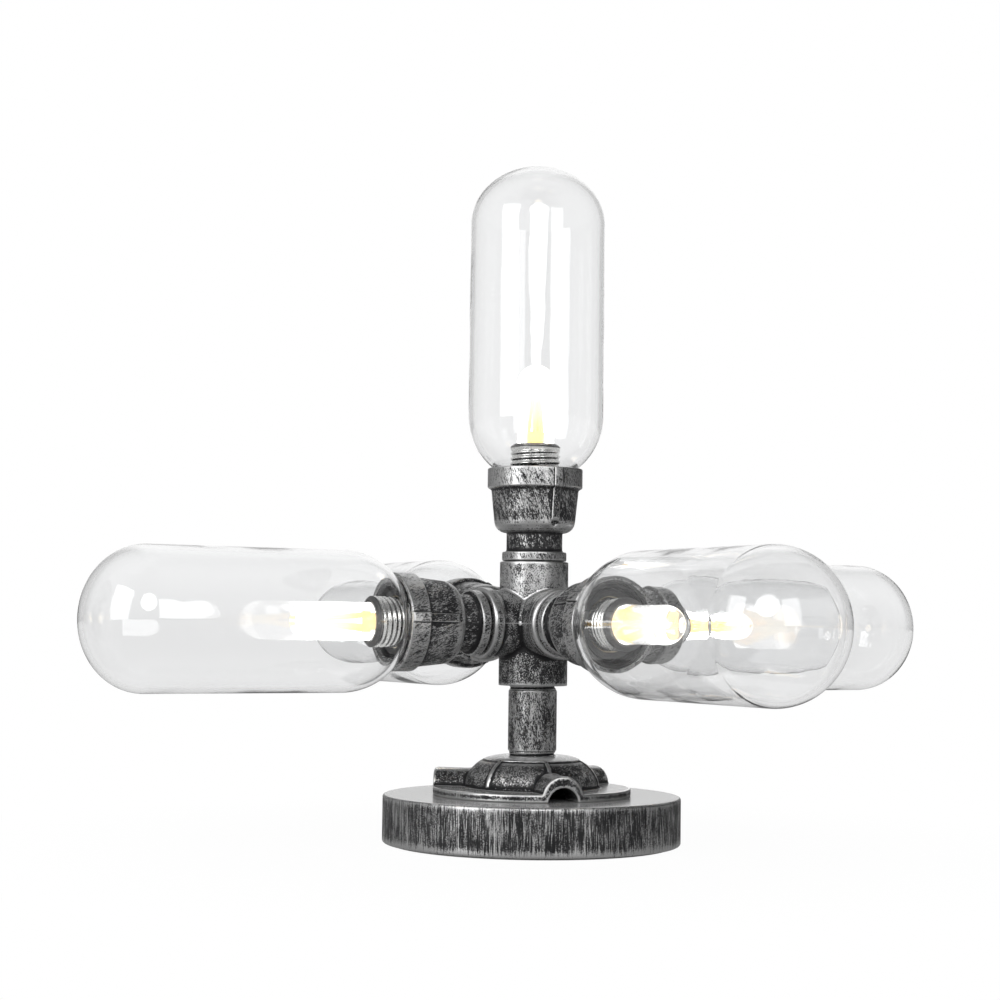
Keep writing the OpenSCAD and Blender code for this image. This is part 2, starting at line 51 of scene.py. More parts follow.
CAMERA_ROLL = math.radians(0.71)
CAMERA_DISTANCE = 1.0
CAMERA_HEIGHT = 0.107
LENS_MM = 72.83
SENSOR_MM = 36

out = Vector((math.sin(CAMERA_TURN), -math.cos(CAMERA_TURN), 0))
camera = bpy.data.objects.new("camera", bpy.data.cameras.new("camera"))
camera.data.lens = LENS_MM
camera.data.sensor_width = SENSOR_MM
facing = (-out).to_track_quat("-Z", "Y").to_matrix().to_4x4()
aim = Matrix.Rotation(CAMERA_PAN, 4, "Y") @ Matrix.Rotation(CAMERA_TILT, 4, "X")
camera.matrix_world = (
    Matrix.Translation(out * CAMERA_DISTANCE + Vector((0, 0, CAMERA_HEIGHT)))
    @ facing @ aim @ Matrix.Rotation(CAMERA_ROLL, 4, "Z")
)
bpy.context.scene.collection.objects.link(camera)
bpy.context.scene.camera = camera
bpy.context.scene.view_settings.view_transform = "Standard"

# Base disc. Turned from iron plate and painted satin black. Silver paint is then drawn down its
# side with a nearly dry brush, and it catches most on the two rims.
MM = 0.001
disc_low, disc_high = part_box("base_disc")
DISC_R = disc_high.x / MM
DISC_TOP = disc_high.z / MM
DISC_UNDER = disc_low.z / MM
RECESS_R = 31
RECESS_TOP = 15
TIE_HOLE_R = 5
RIM_ROUND = 1.3
DISC_TURNS = 240
DISC_STEP = 2.0
WELD_GAP = 1e-6
INLET_Z = 8.5
SLEEVE_R = 5.1
HEAD_R = 6.9
HEAD_DEPTH = 2.4
HEAD_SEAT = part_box("cord_bush")[1].y / MM - HEAD_DEPTH
CUT_INTO = 4
CUT_PAST = 5


def rounded(corners, steps=5):
    """A closed outline through (radius, height, fillet) corners, in millimetres."""
    outline = []
    for i, (r, u, fillet) in enumerate(corners):
        here = np.array([r, u], float)
        if fillet <= 0:
            outline.append(here)
            continue
        before = np.array(corners[i - 1][:2], float) - here
        after = np.array(corners[(i + 1) % len(corners)][:2], float) - here
        before /= np.linalg.norm(before)
        after /= np.linalg.norm(after)
        half = math.acos(float(np.clip(before @ after, -1, 1))) / 2
        start, end = here + before * fillet / math.tan(half), here + after * fillet / math.tan(half)
        centre = here + (before + after) / np.linalg.norm(before + after) * fillet / math.sin(half)
        a0 = math.atan2(*(start - centre)[::-1])
        turn = (math.atan2(*(end - centre)[::-1]) - a0 + math.pi) % (2 * math.pi) - math.pi
        for k in range(steps + 1):
            a = a0 + turn * k / steps
            outline.append(centre + fillet * np.array([math.cos(a), math.sin(a)]))
    return outline


def spaced(outline, step):
    """The same closed outline with points added, so that none are further apart than a step."""
    dense = []
    for i, here in enumerate(outline):
        after = outline[(i + 1) % len(outline)]
        parts = max(1, math.ceil(np.linalg.norm(after - here) / step))
        dense += [here + (after - here) * k / parts for k in range(parts)]
    return dense


def lathe(name, outline, turns, place=Matrix.Identity(4), swell=None, slant=0.0):
    """Spins a closed outline about +Z into a solid and puts it in place. turns is a number of
    even steps or a list of angles, and swell changes the radius by height and angle. The attribute
    skin keeps where each point lay before the placing, turned by a slant in radians a metre, so
    that strokes of the finish run slanting along the piece."""
    angles = np.linspace(0, 2 * math.pi, turns, endpoint=False) if np.isscalar(turns) else turns
    rows, columns = len(outline), len(angles)
    r = np.repeat(np.array([p[0] for p in outline])[:, None], columns, 1)
    u = np.repeat(np.array([p[1] for p in outline])[:, None], columns, 1)
    a = np.repeat(angles[None, :], rows, 0)
    if swell:
        r = swell(r, u, a)
    points = np.stack([r * np.cos(a), r * np.sin(a), u], -1).reshape(-1, 3) * MM
    row = np.arange(rows)[:, None] * columns + np.arange(columns)[None, :]
    above = np.roll(row, -1, 0)
    quads = np.stack([row, np.roll(row, -1, 1), np.roll(above, -1, 1), above], -1).reshape(-1, 4)
    lean = a + slant * u * MM
    skin = np.stack([r * np.cos(lean), r * np.sin(lean), u], -1).reshape(-1, 3) * MM
    return piece(name, points, quads, place, skin)


def piece(name, points, faces, place=Matrix.Identity(4), skin=None):
    """One welded, outward-facing, smooth mesh object whose place is in its mesh."""
    mesh = bpy.data.meshes.new(name)
    mesh.from_pydata(points.tolist(), [], faces.tolist())
    mesh.transform(place)
    keep_skin(mesh, points if skin is None else skin)
    weld(mesh, face_out=True)
    mesh.shade_smooth()
    made = bpy.data.objects.new(name, mesh)
    bpy.context.scene.collection.objects.link(made)
    return made


def weld(mesh, face_out=False):
    """Merges doubled points and, where asked, turns the faces of closed shells outwards."""
    shell = bmesh.new()
    shell.from_mesh(mesh)
    bmesh.ops.remove_doubles(shell, verts=shell.verts, dist=WELD_GAP)
    if face_out:
        bmesh.ops.recalc_face_normals(shell, faces=shell.faces)
    shell.to_mesh(mesh)
    shell.free()


def keep_skin(mesh, points):
    """Stores where each point lies on the piece, as skin."""
    stored = mesh.attributes.get("skin") or mesh.attributes.new("skin", "FLOAT_VECTOR", "POINT")
    stored.data.foreach_set("vector", np.asarray(points, np.float32).ravel())


def cut_away(body, *cutters):
    """Cuts tools out of a piece and removes the tools."""
    for cutter in cutters:
        modifier = body.modifiers.new("cut", "BOOLEAN")
        modifier.operation = "DIFFERENCE"
        modifier.solver = "EXACT"
        modifier.object = cutter
    settle(body)
    for cutter in cutters:
        bpy.data.objects.remove(cutter)


def settle(body):
    """Turns a piece's modifiers into its mesh."""
    bpy.context.view_layer.update()
    evaluated = body.evaluated_get(bpy.context.evaluated_depsgraph_get())
    mesh = bpy.data.meshes.new_from_object(evaluated)
    body.modifiers.clear()
    body.data = mesh


def mark_wear(body, reach, passes):
    """Stores on each point how far it stands proud of its surroundings, from -1 to 1, as worn."""
    mesh = body.data
    count = len(mesh.vertices)
    points = np.zeros(count * 3)
    mesh.vertices.foreach_get("co", points)
    points = points.reshape(-1, 3)
    ends = np.zeros(len(mesh.edges) * 2, int)
    mesh.edges.foreach_get("vertices", ends)
    a, b = ends[0::2], ends[1::2]
    mates = np.bincount(a, minlength=count) + np.bincount(b, minlength=count)
    mates = np.maximum(mates, 1)[:, None]
    smooth = points.copy()
    for _ in range(passes):
        total = np.stack([
            np.bincount(a, smooth[b, axis], count) + np.bincount(b, smooth[a, axis], count)
            for axis in range(3)
        ], -1)
        smooth = total / mates
    normals = np.zeros(count * 3)
    mesh.vertex_normals.foreach_get("vector", normals)
    proud = ((points - smooth) * normals.reshape(-1, 3)).sum(1)
    stored = mesh.attributes.new("worn", "FLOAT", "POINT")
    stored.data.foreach_set("value", np.clip(proud / (reach * MM), -1, 1).astype(np.float32))


def put(tree, kind, feeds=None, family="ShaderNode", **settings):
    """Adds a node. feeds sets inputs by name or number, from a value or a socket."""
    made = tree.nodes.new(family + kind)
    for name, value in settings.items():
        setattr(made, name, value)
    for name, value in (feeds or {}).items():
        if isinstance(value, bpy.types.NodeSocket):
            tree.links.new(value, made.inputs[name])
        else:
            made.inputs[name].default_value = value
    return made


def feed(tree, shader, **sockets):
    """Links sockets to a shader's inputs, whose names are given with _ for a space."""
    for label, socket in sockets.items():
        tree.links.new(socket, shader.inputs[label.replace("_", " ")])


def kept(tree, name):
    """The outputs that read an attribute kept on the piece, such as skin or worn."""
    return put(tree, "Attribute", attribute_name=name, attribute_type="GEOMETRY").outputs


def upward(tree, vector):
    """The part of a vector that points up, or on skin the height along the piece."""
    return put(tree, "SeparateXYZ", {"Vector": vector}).outputs["Z"]


def pitted(tree, height, depth, strength=1.0):
    """A normal from a height, whose depth is in millimetres."""
    feeds = {"Height": height, "Distance": depth * MM, "Strength": strength}
    return put(tree, "Bump", feeds).outputs[0]


def maths(tree, operation, first, second=0.0, clamp=False):
    """A sum on one or two values or sockets."""
    made = put(tree, "Math", {0: first, 1: second}, operation=operation, use_clamp=clamp)
    return made.outputs[0]


def between(tree, value, low, high, to_low=0.0, to_high=1.0):
    """A smooth step of a value from low to high."""
    feeds = {"Value": value, "From Min": low, "From Max": high, "To Min": to_low, "To Max": to_high}
    return put(tree, "MapRange", feeds, interpolation_type="SMOOTHSTEP").outputs[0]


def colours(tree, share, first, second):
    """A blend of two colours. The Mix node keeps its colour sockets at places 6, 7 and 2."""
    return put(tree, "Mix", {0: share, 6: first, 7: second}, data_type="RGBA").outputs[2]


def noise(tree, vector, scale, detail, roughness=0.55, distortion=0.0):
    """Soft noise from 0 to 1. Its scale is in features a metre."""
    feeds = {
        "Vector": vector, "Scale": scale, "Detail": detail, "Roughness": roughness,
        "Distortion": distortion,
    }
    return put(tree, "TexNoise", feeds).outputs["Fac"]


def group(name, inputs, outputs, sort="ShaderNodeTree"):
    """An empty node group with its sockets, and the nodes that lead in and out."""
    tree = bpy.data.node_groups.new(name, sort)
    for label, kind, value in inputs:
        socket = tree.interface.new_socket(label, in_out="INPUT", socket_type="NodeSocket" + kind)
        if value is not None:
            socket.default_value = value
    for label, kind in outputs:
        tree.interface.new_socket(label, in_out="OUTPUT", socket_type="NodeSocket" + kind)
    return tree, tree.nodes.new("NodeGroupInput").outputs, tree.nodes.new("NodeGroupOutput").inputs


def finish(name, **constants):
    """A material with its Principled shader, whose plain values are set on its own sockets."""
    material = bpy.data.materials.new(name)
    material.use_nodes = True
    tree = material.node_tree
    shader = tree.nodes["Principled BSDF"]
    for label, value in constants.items():
        shader.inputs[label.replace("_", " ")].default_value = value
    return material, tree, shader


def dress(body, material, slot=None, rides_on="root", *replaced):
    """Gives a piece its finish, its body and the CAD nodes that it stands for."""
    body.data.materials.clear()
    body.data.materials.append(material)
    if replaced:
        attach(body, rides_on)
        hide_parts(*replaced)


# Silver rubbed over black paint. Brush marks and grain decide where it holds, wide patches and
# clouds make it uneven, and worn edges take most of it.
MARKS_SHARE = 0.62
PATCH_SCALE, PATCH_DRIFT = 380.0, 0.28
CLOUD_SCALE, CLOUD_DRIFT = 70.0, 0.22
EDGE_HOLD = 0.3
DEEPEST = -0.35
HOLD_START = 0.66
COVER_REACH = 0.36
HOLD_WIDTH = 0.13
rubbing, given, result = group(
    "rubbed_silver",
    [
        ("Skin", "Vector", None), ("Worn", "Float", 0.0), ("Cover", "Float", 0.5),
        ("Edge", "Float", 1.0), ("Grain", "Float", 900.0), ("Stretch", "Vector", (1.0, 1.0, 1.0)),
        ("Uneven", "Float", 1.0),
    ],
    [("Silver", "Float"), ("Height", "Float"), ("Cloud", "Float")],
)
drawn = put(rubbing, "VectorMath", {0: given["Skin"], 1: given["Stretch"]},
            operation="MULTIPLY").outputs[0]
marks = noise(rubbing, drawn, given["Grain"], 2.0, 0.6, 0.4)
grit = noise(rubbing, given["Skin"], maths(rubbing, "MULTIPLY", given["Grain"], 0.9), 2.0, 0.7)
patch = noise(rubbing, drawn, PATCH_SCALE, 2.0, 0.5)
cloud = noise(rubbing, given["Skin"], CLOUD_SCALE, 2.0, 0.5)
held = maths(rubbing, "ADD", maths(rubbing, "MULTIPLY", marks, MARKS_SHARE),
             maths(rubbing, "MULTIPLY", grit, 1 - MARKS_SHARE))
for wide, weight in ((patch, PATCH_DRIFT), (cloud, CLOUD_DRIFT)):
    drift = maths(rubbing, "MULTIPLY", maths(rubbing, "SUBTRACT", wide, 0.5), weight)
    held = maths(rubbing, "ADD", held, maths(rubbing, "MULTIPLY", drift, given["Uneven"]))
proud = maths(rubbing, "MAXIMUM", given["Worn"], DEEPEST)
proud = maths(rubbing, "MULTIPLY", maths(rubbing, "MULTIPLY", proud, given["Edge"]), EDGE_HOLD)
held = maths(rubbing, "ADD", held, proud)
covered = maths(rubbing, "MULTIPLY", given["Cover"], COVER_REACH)
start = maths(rubbing, "SUBTRACT", HOLD_START, covered)
silver = between(rubbing, held, start, maths(rubbing, "ADD", start, HOLD_WIDTH))
rough_skin = maths(rubbing, "ADD", maths(rubbing, "MULTIPLY", grit, 0.5),
                   maths(rubbing, "MULTIPLY", marks, 0.5))
for label, socket in (("Silver", silver), ("Height", rough_skin), ("Cloud", cloud)):
    rubbing.links.new(socket, result[label])

PAINT_BLACK = (0.010, 0.010, 0.011, 1)
PAINT_WORN = (0.026, 0.026, 0.027, 1)
SILVER = (0.62, 0.62, 0.62, 1)
PAINTED_TOP_SHEEN = (0.33, 0.33, 0.33, 1)
PAINT_SHINE, SATIN_SHINE = 0.2, 1.0
PAINT_ROUGH, SILVER_ROUGH = 0.46, 0.40
SATIN_SMOOTHER = 0.28


def rubbed_iron(name, cover, edge, grain, stretch, depth, spread=None, satin_with_painted_sheen=False, uneven=1.0):
    """Black paint with silver rubbed over it, and a skin that is pitted to a depth in millimetres.
    spread changes how much silver a place takes, and the satin flag gives the level faces a
    smoother, shinier coat and a paler grey colour, which is a painted sheen for the light glancing
    off them."""
    material, tree, shader = finish(name, Specular_IOR_Level=PAINT_SHINE)
    worn = kept(tree, "worn")["Fac"]
    parts = put(tree, "Group", {
        "Skin": kept(tree, "skin")["Vector"], "Worn": worn,
        "Cover": spread(tree, cover) if spread else cover,
        "Edge": edge, "Grain": grain, "Stretch": stretch, "Uneven": uneven,
    }, node_tree=rubbing).outputs
    dark = colours(tree, between(tree, parts["Cloud"], 0.3, 0.75), PAINT_BLACK, PAINT_WORN)
    hollow = between(tree, worn, -0.7, -0.05)
    dark = colours(tree, hollow, PAINT_BLACK, dark)
    rough = between(tree, parts["Silver"], 0.0, 1.0, PAINT_ROUGH, SILVER_ROUGH)
    if satin_with_painted_sheen:
        level = between(tree, upward(tree, put(tree, "NewGeometry").outputs["Normal"]), 0.8, 0.97)
        # Level faces are painted a paler grey: a painted sheen for the light on the tops, not a
        # colour of the paint. Their smoother, shinier coat is real.
        dark = colours(tree, level, dark, PAINTED_TOP_SHEEN)
        smoother = maths(tree, "MULTIPLY", level, SATIN_SMOOTHER)
        rough = maths(tree, "SUBTRACT", rough, smoother)
        shine = maths(tree, "MULTIPLY", level, SATIN_SHINE - PAINT_SHINE)
        feed(tree, shader, Specular_IOR_Level=maths(tree, "ADD", shine, PAINT_SHINE))
    feed(
        tree, shader, Base_Color=colours(tree, parts["Silver"], dark, SILVER),
        Metallic=parts["Silver"], Roughness=rough,
        Normal=pitted(tree, parts["Height"], depth, 0.5),
    )
    return material


def disc_spread(tree, cover):
    """The brush went down the side only, loads the two rims, and left the top plain."""
    height = upward(tree, put(tree, "TexCoord").outputs["Object"])
    low_rim = between(tree, height, (DISC_UNDER + 0.5) * MM, (DISC_UNDER + 5) * MM, 0.38, 0.0)
    high_rim = between(tree, height, (DISC_TOP - 3) * MM, (DISC_TOP - 0.3) * MM, 0.0, 0.22)
    up = upward(tree, put(tree, "NewGeometry").outputs["Normal"])
    flat = between(tree, maths(tree, "ABSOLUTE", up), 0.75, 0.95, 0.0, 2.0)
    total = maths(tree, "ADD", cover, maths(tree, "ADD", low_rim, high_rim))
    return maths(tree, "SUBTRACT", total, flat)


disc = lathe("base_disc_turned", spaced(rounded([
    (TIE_HOLE_R, RECESS_TOP, 0), (TIE_HOLE_R, DISC_TOP, 0), (DISC_R, DISC_TOP, RIM_ROUND),
    (DISC_R, DISC_UNDER, RIM_ROUND), (RECESS_R, DISC_UNDER, 0), (RECESS_R, RECESS_TOP, 0),
]), DISC_STEP), DISC_TURNS)
inlet = Matrix.Translation((0, 0, INLET_Z * MM)) @ Matrix.Rotation(-math.pi / 2, 4, "X")
sleeve_cut = lathe("sleeve_cut", rounded([
    (0, RECESS_R - CUT_INTO, 0), (0, DISC_R + CUT_PAST, 0), (SLEEVE_R, DISC_R + CUT_PAST, 0),
    (SLEEVE_R, RECESS_R - CUT_INTO, 0),
]), 48, inlet)
head_cut = lathe("head_cut", rounded([
    (0, HEAD_SEAT, 0), (0, DISC_R + CUT_PAST, 0), (HEAD_R, DISC_R + CUT_PAST, 0),
    (HEAD_R, HEAD_SEAT, 0),
]), 64, inlet)
cut_away(disc, sleeve_cut, head_cut)
mark_wear(disc, reach=0.25, passes=3)
disc_iron = rubbed_iron(
    "brushed_base_iron", cover=0.42, edge=0.25, grain=2300.0, stretch=(1.0, 1.0, 0.045),
    depth=0.03, spread=disc_spread, satin_with_painted_sheen=True, uneven=0.8,
)
dress(disc, disc_iron, "base_iron", "root", "base_disc")

# Pad under the disc. A round of pale grey felt, glued to the underside, where it also closes the
# wiring recess.
FELT_DARK, FELT_PALE = (0.45, 0.45, 0.44, 1), (0.72, 0.72, 0.71, 1)
FIBRE_SCALE = 2600.0
felt, felt_tree, felt_shader = finish("felt", Roughness=0.95, Sheen_Weight=0.3)
felt_place = put(felt_tree, "TexCoord").outputs["Object"]
fibres = noise(felt_tree, felt_place, FIBRE_SCALE, 5.0, 0.7, 1.5)
feed(
    felt_tree, felt_shader, Base_Color=colours(felt_tree, fibres, FELT_DARK, FELT_PALE),
    Normal=pitted(felt_tree, fibres, 0.3),
)
dress(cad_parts["base_pad"], felt)

# Bush in the cord inlet, and terminal block. Both are moulded plastic. The black bush sits in the
# rear of the disc, and the cream block lies inside the wiring recess.
BLACK_PLASTIC = (0.018, 0.018, 0.019, 1)
CREAM_PLASTIC = (0.62, 0.60, 0.52, 1)
PEEL_SCALE = 1800.0


def moulded(name, colour, roughness):
    """Moulded plastic with a faint orange-peel skin."""
    material, tree, shader = finish(name, Base_Color=colour)
    skin = noise(tree, put(tree, "TexCoord").outputs["Object"], PEEL_SCALE, 2.0)
    feed(
        tree, shader, Normal=pitted(tree, skin, 0.03),
        Roughness=between(tree, skin, 0.2, 0.8, roughness - 0.06, roughness + 0.06),
    )
    return material


black_plastic = moulded("black_moulding", BLACK_PLASTIC, roughness=0.45)
dress(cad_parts["cord_bush"], black_plastic)
cream_plastic = moulded("terminal_moulding", CREAM_PLASTIC, roughness=0.5)
dress(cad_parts["terminal_block"], cream_plastic)

# Fittings out of sight. The earth screw, the tie tube and the lampholders' contacts are brass, and
# the nuts, the washer and the lampholders' screws are zinc-plated steel.
BRASS_LIGHT, BRASS_DARK = (0.60, 0.52, 0.38, 1), (0.36, 0.30, 0.20, 1)
ZINC_LIGHT, ZINC_DARK = (0.62, 0.62, 0.60, 1), (0.40, 0.40, 0.38, 1)
TARNISH_SCALE = 260.0
SCRATCH_SCALE = 3000.0


def fitting_metal(name, light, dark, roughness):
    """Plain metal with a little tarnish and fine scratches."""
    material, tree, shader = finish(name, Metallic=1.0)
    place = put(tree, "TexCoord").outputs["Object"]
    tarnish = noise(tree, place, TARNISH_SCALE, 4.0, 0.6)
    scratches = noise(tree, place, SCRATCH_SCALE, 2.0, 0.6, 2.0)
    feed(
        tree, shader, Base_Color=colours(tree, between(tree, tarnish, 0.35, 0.75), light, dark),
        Roughness=between(tree, scratches, 0.2, 0.8, roughness - 0.08, roughness + 0.1),
    )
    return material


brass = fitting_metal("brass", BRASS_LIGHT, BRASS_DARK, roughness=0.28)
zinc = fitting_metal("zinc_plate", ZINC_LIGHT, ZINC_DARK, roughness=0.32)
for fitting in ("earth_screw", "tie_tube", "holder_contacts"):
    dress(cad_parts[fitting], brass)
for fitting in ("clamp_nuts", "clamp_washer", "holder_screws"):
    dress(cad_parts[fitting], zinc)

# Floor flange. A sand casting: a domed boss with three arched tunnels and three framed, grained
# panels between them. It stands on the disc and holds the stem.
FLANGE_VOXEL = 0.52


def cast_copy(name, node, voxel, passes):
    """A finely meshed copy of a CAD node with the soft edges and filled corners of a casting."""
    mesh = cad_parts[node].data.copy()
    made = bpy.data.objects.new(name, mesh)
    bpy.context.scene.collection.objects.link(made)
    weld(mesh)
    remesh = made.modifiers.new("cast", "REMESH")
    remesh.mode = "VOXEL"
    remesh.voxel_size = voxel * MM
    soften = made.modifiers.new("soften", "SMOOTH")
    soften.factor = 0.5
    soften.iterations = passes
    settle(made)
    made.data.shade_smooth()
    keep_skin(made.data, [corner.co[:] for corner in made.data.vertices])
    return made


flange = cast_copy("floor_flange_cast", "floor_flange", FLANGE_VOXEL, passes=2)
mark_wear(flange, reach=0.14, passes=4)
flange_iron = rubbed_iron(
    "rubbed_flange_iron", cover=0.34, edge=1.2, grain=2000.0, stretch=(1.0, 1.0, 0.8), depth=0.10,
    satin_with_painted_sheen=True,
)
dress(flange, flange_iron, "flange_iron", "root", "floor_flange")

# Stem pipe. A short length of gas pipe, threaded at both ends and screwed into the flange and
# the cross, with a turn or two of thread left in view.
pipe_low, pipe_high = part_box("stem_pipe")
PIPE_R = pipe_high.x / MM
PIPE_BORE_R = 8.8
THREAD_R = 11.4
PIPE_PITCH = 1.81
THREAD_DEPTH = 0.85
PIPE_GRIP = 9
THREAD_VIEW = 2.2
THREAD_OFF = 0.5
PIPE_TURNS = 144
PIPE_STEP = 0.36


def threaded(start, end, pitch, depth, base, ease=0.6):
    """A swell that cuts a screw thread into the outer wall between two heights."""
    def swell(r, u, a):
        turn = (u / pitch - a / (2 * math.pi)) % 1
        ridge = np.abs(2 * turn - 1)
        inside = np.clip((u - start) / ease, 0, 1) * np.clip((end - u) / ease, 0, 1)
        return np.where(r > base, r - depth * (1 - ridge) * inside, r)
    return swell


pipe_bottom, pipe_top = pipe_low.z / MM, pipe_high.z / MM
body_bottom = pipe_bottom + PIPE_GRIP + THREAD_VIEW
body_top = pipe_top - PIPE_GRIP - THREAD_VIEW
PIPE_SKIN_R = PIPE_BORE_R + 1
low_thread = threaded(pipe_bottom, body_bottom - THREAD_OFF, PIPE_PITCH, THREAD_DEPTH, PIPE_SKIN_R)
high_thread = threaded(body_top + THREAD_OFF, pipe_top, PIPE_PITCH, THREAD_DEPTH, PIPE_SKIN_R)
pipe = lathe("stem_pipe_threaded", spaced(rounded([
    (PIPE_BORE_R, pipe_bottom, 0), (THREAD_R, pipe_bottom, 0.5), (THREAD_R, body_bottom, 0.2),
    (PIPE_R, body_bottom, 0.5), (PIPE_R, body_top, 0.5), (THREAD_R, body_top, 0.2),
    (THREAD_R, pipe_top, 0.5), (PIPE_BORE_R, pipe_top, 0),
]), PIPE_STEP), PIPE_TURNS, swell=lambda r, u, a: high_thread(low_thread(r, u, a), u, a))
mark_wear(pipe, reach=0.12, passes=4)
pipe_iron = rubbed_iron(
    "rubbed_pipe", cover=0.40, edge=1.0, grain=2200.0, stretch=(1.0, 1.0, 0.3), depth=0.05,
)
dress(pipe, pipe_iron, "pipe_steel", "root", "stem_pipe")

# Cross. A six-way cast fitting. Its six equal barrels meet in soft creases, a beaded lip rings
# each side outlet, and a thin parting line with a gate mark runs round at mid height.
cross_low, cross_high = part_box("cross")
CROSS_Z = (cross_low.z + cross_high.z) / 2 / MM
CROSS_REACH = cross_high.x / MM
BRANCH_R = 16.2
CROSS_VOXEL = 0.57
cross = cast_copy("cross_cast", "cross", CROSS_VOXEL, passes=3)
mark_wear(cross, reach=0.16, passes=4)


def cross_spread(tree, cover):
    """The upper barrel takes most. The mould's parting line and its four gates are rubbed bare."""
    place = put(tree, "TexCoord").outputs["Object"]
    own = put(tree, "VectorMath", {0: place, 1: (0, 0, CROSS_Z * MM)},
              operation="SUBTRACT").outputs[0]
    height = upward(tree, own)
    upper = maths(tree, "MULTIPLY", between(tree, height, 0.006, 0.014, 0.0, 0.26),
                  between(tree, height, 0.018, 0.03, 1.0, 0.3))
    lower = between(tree, height, -0.022, -0.008, -0.04, 0.0)
    crease = maths(tree, "MULTIPLY", between(tree, kept(tree, "worn")["Fac"], -0.6, -0.2, 0.5, 0.0),
                   between(tree, height, 0.0, 0.004, 0.0, 1.0))
    line = between(tree, maths(tree, "ABSOLUTE", height), 0.00015, 0.00035, 0.5, 0.0)
    corner = put(tree, "VectorMath", {0: own}, operation="ABSOLUTE").outputs[0]
    gate = put(tree, "VectorMath", {0: corner, 1: (BRANCH_R * MM, BRANCH_R * MM, 0)},
               operation="DISTANCE").outputs["Value"]
    spot = between(tree, gate, 0.0008, 0.0016, 1.0, 0.0)
    for extra in (upper, lower, crease, line, spot):
        cover = maths(tree, "ADD", cover, extra)
    return cover


cross_iron = rubbed_iron(
    "rubbed_cross_iron", cover=0.42, edge=1.0, grain=2200.0, stretch=(1.0, 1.0, 0.6), depth=0.10,
    spread=cross_spread,
)
dress(cross, cross_iron, "cross_iron", "root", "cross")

# The five arms: up, left, front, right and rear. Everything on an arm is drawn standing on its
# cup's collar, and one placing matrix lays it along its arm.
ARMS = {
    "top": Vector((0, 0, 1)), "left": Vector((-1, 0, 0)), "front": Vector((0, -1, 0)),
    "right": Vector((1, 0, 0)), "rear": Vector((0, 1, 0)),
}
CUP_TURNS = {"top": 0, "left": 6, "front": 58, "right": -24, "rear": 32}
LIFTS = {
    "top": Matrix.Identity(4), "left": Matrix.Rotation(-math.pi / 2, 4, "Y"),
    "front": Matrix.Rotation(math.pi / 2, 4, "X"), "right": Matrix.Rotation(math.pi / 2, 4, "Y"),
    "rear": Matrix.Rotation(-math.pi / 2, 4, "X"),
}
placing = {}
gaps = {}
for arm, along in ARMS.items():
    low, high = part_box("cup_" + arm)
    centre = Vector((0, 0, CROSS_Z * MM))
    collar = min(abs((low - centre).dot(along)), abs((high - centre).dot(along)))
    gaps[arm] = collar / MM - CROSS_REACH
    placing[arm] = (
        Matrix.Translation(centre + along * collar) @ LIFTS[arm]
        @ Matrix.Rotation(math.radians(CUP_TURNS[arm]), 4, "Z")
    )

# Nipples. Short lengths of blackened steel pipe, threaded from end to end, which screw into the
# cross and into each cup's collar.
NIPPLE_R = 10.5
NIPPLE_BORE_R = 7.8
NIPPLE_GRIP = 11
NIPPLE_THREAD = 0.8
black_thread = rubbed_iron(
    "black_thread", cover=0.12, edge=1.0, grain=1400.0, stretch=(1.0, 1.0, 1.0), depth=0.05,
)
for arm in ARMS:
    bottom = -gaps[arm] - NIPPLE_GRIP
    nipple = lathe("nipple_" + arm + "_threaded", spaced(rounded([
        (NIPPLE_BORE_R, bottom, 0), (NIPPLE_R, bottom, 0.4), (NIPPLE_R, NIPPLE_GRIP, 0.4),
        (NIPPLE_BORE_R, NIPPLE_GRIP, 0),
    ]), 0.35), 112, placing[arm],
        threaded(bottom, NIPPLE_GRIP, PIPE_PITCH, NIPPLE_THREAD, NIPPLE_BORE_R + 1))
    mark_wear(nipple, reach=0.12, passes=3)
    dress(nipple, black_thread, "nipple_steel", "root", "nipple_" + arm)

# Cups. Bell-shaped reducers, cast with a collar, a neck, a rim band and two ribs with a dimple
# below each. They are machined hollow for the lampholder and the glass's neck.
CUP_LEN = 45.6
COLLAR_R = 15.9
COLLAR_W = 4.4
NECK_R = 13.8
BELL_START = 13.8
NECK_START = 12.8
BELL_FOOT_R = 19.4
BELL_TOP_R = 21.6
BAND_R = 23.5
BAND_U = 36.2
SOCKET_R = 10.6
SOCKET_DEPTH = 13.2
WIRE_HOLE_R = 6
CHAMBER_R = 17.6
CHAMBER_FLOOR = 17.5
LEDGE_U = 36.1
MOUTH_R = 21.2
RIB_H = 0.9
RIB_HALF = 1.8
RIB_BAND_HALF = 2.0
RIB_FLANK = 0.45
DIMPLE_U = 18.2
DIMPLE_R = 1.5
DIMPLE_DEPTH = 0.9
CUP_SIDES = 168
RIB_SIDES = 41
CUP_STEP = 0.58
STROKE_SLANT = 14.0


def cup_swell(r, u, a):
    """Adds the two ribs and their dimples to the bell and the band."""
    outer = r > np.interp(u, [0, BELL_START, BELL_START + 3, CUP_LEN], [12, 12.5, 15, 21.3])
    across = np.abs(np.cos(a)) * r
    half = np.where(u > BAND_U, RIB_BAND_HALF, RIB_HALF)
    rib = np.clip((half + RIB_FLANK - across) / RIB_FLANK, 0, 1)
    rib = rib * rib * (3 - 2 * rib) * np.clip((u - DIMPLE_U - 0.6) / 1.0, 0, 1)
    edge = np.clip((CUP_LEN - u) / 0.5, 0, 1)
    dimple = np.exp(-((across ** 2 + (u - DIMPLE_U) ** 2) / DIMPLE_R ** 2) ** 2)
    lifted = r + RIB_H * rib * edge * np.where(u > BAND_U - 1, 0.75, 1.0) - DIMPLE_DEPTH * dimple
    return np.where(outer, lifted, r)


